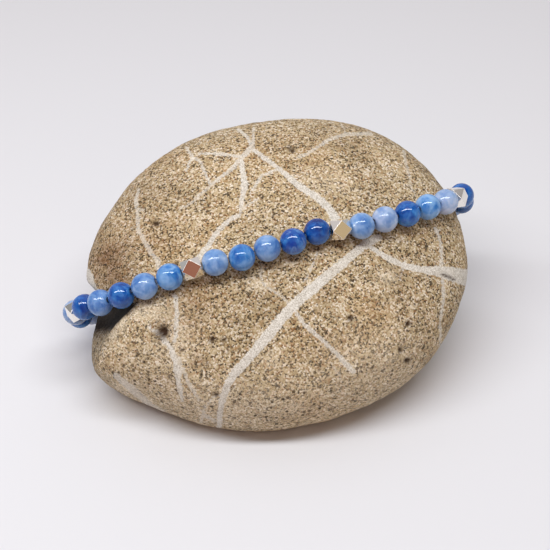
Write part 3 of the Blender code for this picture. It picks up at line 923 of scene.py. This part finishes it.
# %% Floor and lamp
LAMP_WAY = np.array([-0.15, -0.18, 0.95])
LAMP_DISTANCE = 0.33
LAMP_SIZE = (0.52, 0.050)
LAMP_WATTS = 1.22
FLOOR_SIDE = 3.0

floor_finish = new_material("plain_white_floor")
finish_material(floor_finish, add(floor_finish, "ShaderNodeBsdfPrincipled",
                                  {"Base Color": colour("dbdde2"), "Roughness": 0.6,
                                   "Specular IOR Level": 0.2}))
floor_corners = FLOOR_SIDE / 2 * np.array([[-1, -1, 0], [1, -1, 0], [1, 1, 0], [-1, 1, 0]])
floor_mesh = bpy.data.meshes.new("floor")
floor_mesh.from_pydata(floor_corners.tolist(), [], [[0, 1, 2, 3]])
floor_mesh.materials.append(floor_finish)
floor = bpy.data.objects.new("floor", floor_mesh)
bpy.context.scene.collection.objects.link(floor)

lamp = bpy.data.objects.new("strip_lamp", bpy.data.lights.new("strip_lamp", "AREA"))
lamp.data.shape = "RECTANGLE"
lamp.data.size, lamp.data.size_y = LAMP_SIZE
lamp.data.energy = LAMP_WATTS
backward = LAMP_WAY / np.linalg.norm(LAMP_WAY)
sideways = np.cross([0.0, 1.0, 0.0], backward)
sideways /= np.linalg.norm(sideways)
lamp_turn = np.stack([sideways, np.cross(backward, sideways), backward], axis=1)
lamp.matrix_world = Matrix.Translation(backward * LAMP_DISTANCE) @ Matrix(lamp_turn.tolist()).to_4x4()
bpy.context.scene.collection.objects.link(lamp)
print("lamp above the floor in mm:", round(lamp.matrix_world.translation.z / MM))


# %% [markdown]
# ## Pale surroundings
# The rest of the light comes from all round. It is strong low down and weak above, so that the under
# sides are not lost, and a pale patch high behind makes the rims of the balls pale. On the camera's
# side a patch is warm and brown, redder to the left and creamier to the right. The silver beads are
# mirrors and would be grey without it: their front faces take its colour.

# %% Surroundings
LOW_LIGHT = 0.52
HIGH_LIGHT = 0.12
HIGH_FROM = 0.75
BACK_LIGHT = 0.72
BACK_WAY = (-0.12, 0.66, 0.74)
BACK_REACH = (0.66, 0.80)
WARM_LIGHT = 0.78
WARM_WAY = (0.0, -0.83, 0.56)
WARM_REACH = (0.76, 0.84)
RED_TO_CREAM = (-0.35, 0.25)

world = bpy.data.worlds.new("pale_surroundings")
world.use_nodes = True
world.node_tree.nodes.clear()
light_way = add(world, "ShaderNodeTexCoord")
way_parts = add(world, "ShaderNodeSeparateXYZ", {}, {0: light_way.outputs["Generated"]})
pale_strength = add(world, "ShaderNodeMapRange",
                    {"From Max": HIGH_FROM, "To Min": LOW_LIGHT, "To Max": HIGH_LIGHT},
                    {"Value": way_parts.outputs["Z"]})
pale_light = add(world, "ShaderNodeBackground", {"Color": colour("f7f8fb")},
                 {"Strength": pale_strength.outputs[0]})
toward_back = add(world, "ShaderNodeVectorMath", {"operation": "DOT_PRODUCT", 1: BACK_WAY},
                  {0: light_way.outputs["Generated"]})
back_share = add(world, "ShaderNodeMapRange",
                 {"interpolation_type": "SMOOTHSTEP", "From Min": BACK_REACH[0], "From Max": BACK_REACH[1]},
                 {"Value": toward_back.outputs["Value"]})
back_light = add(world, "ShaderNodeBackground", {"Color": colour("f8f2f3"), "Strength": BACK_LIGHT})
pale_sides = add(world, "ShaderNodeMixShader", {},
                 {0: back_share.outputs[0], 1: pale_light.outputs[0], 2: back_light.outputs[0]})
across = add(world, "ShaderNodeMapRange", {"From Min": RED_TO_CREAM[0], "From Max": RED_TO_CREAM[1]},
             {"Value": way_parts.outputs["X"]})
warm_colour = add(world, "ShaderNodeValToRGB", {"ramp": ((0.0, "a4574a"), (0.5, "aa6658"), (1.0, "dfc69c"))},
                  {"Fac": across.outputs[0]})
warm_light = add(world, "ShaderNodeBackground", {"Strength": WARM_LIGHT}, {"Color": warm_colour.outputs[0]})
toward_warm = add(world, "ShaderNodeVectorMath", {"operation": "DOT_PRODUCT", 1: WARM_WAY},
                  {0: light_way.outputs["Generated"]})
warm_share = add(world, "ShaderNodeMapRange",
                 {"interpolation_type": "SMOOTHSTEP", "From Min": WARM_REACH[0], "From Max": WARM_REACH[1]},
                 {"Value": toward_warm.outputs["Value"]})
surround = add(world, "ShaderNodeMixShader", {},
               {0: warm_share.outputs[0], 1: pale_sides.outputs[0], 2: warm_light.outputs[0]})
add(world, "ShaderNodeOutputWorld", links={"Surface": surround.outputs[0]})
bpy.context.scene.world = world
bpy.context.scene.view_settings.view_transform = "Standard"
print("surroundings, low and high:", LOW_LIGHT, HIGH_LIGHT)
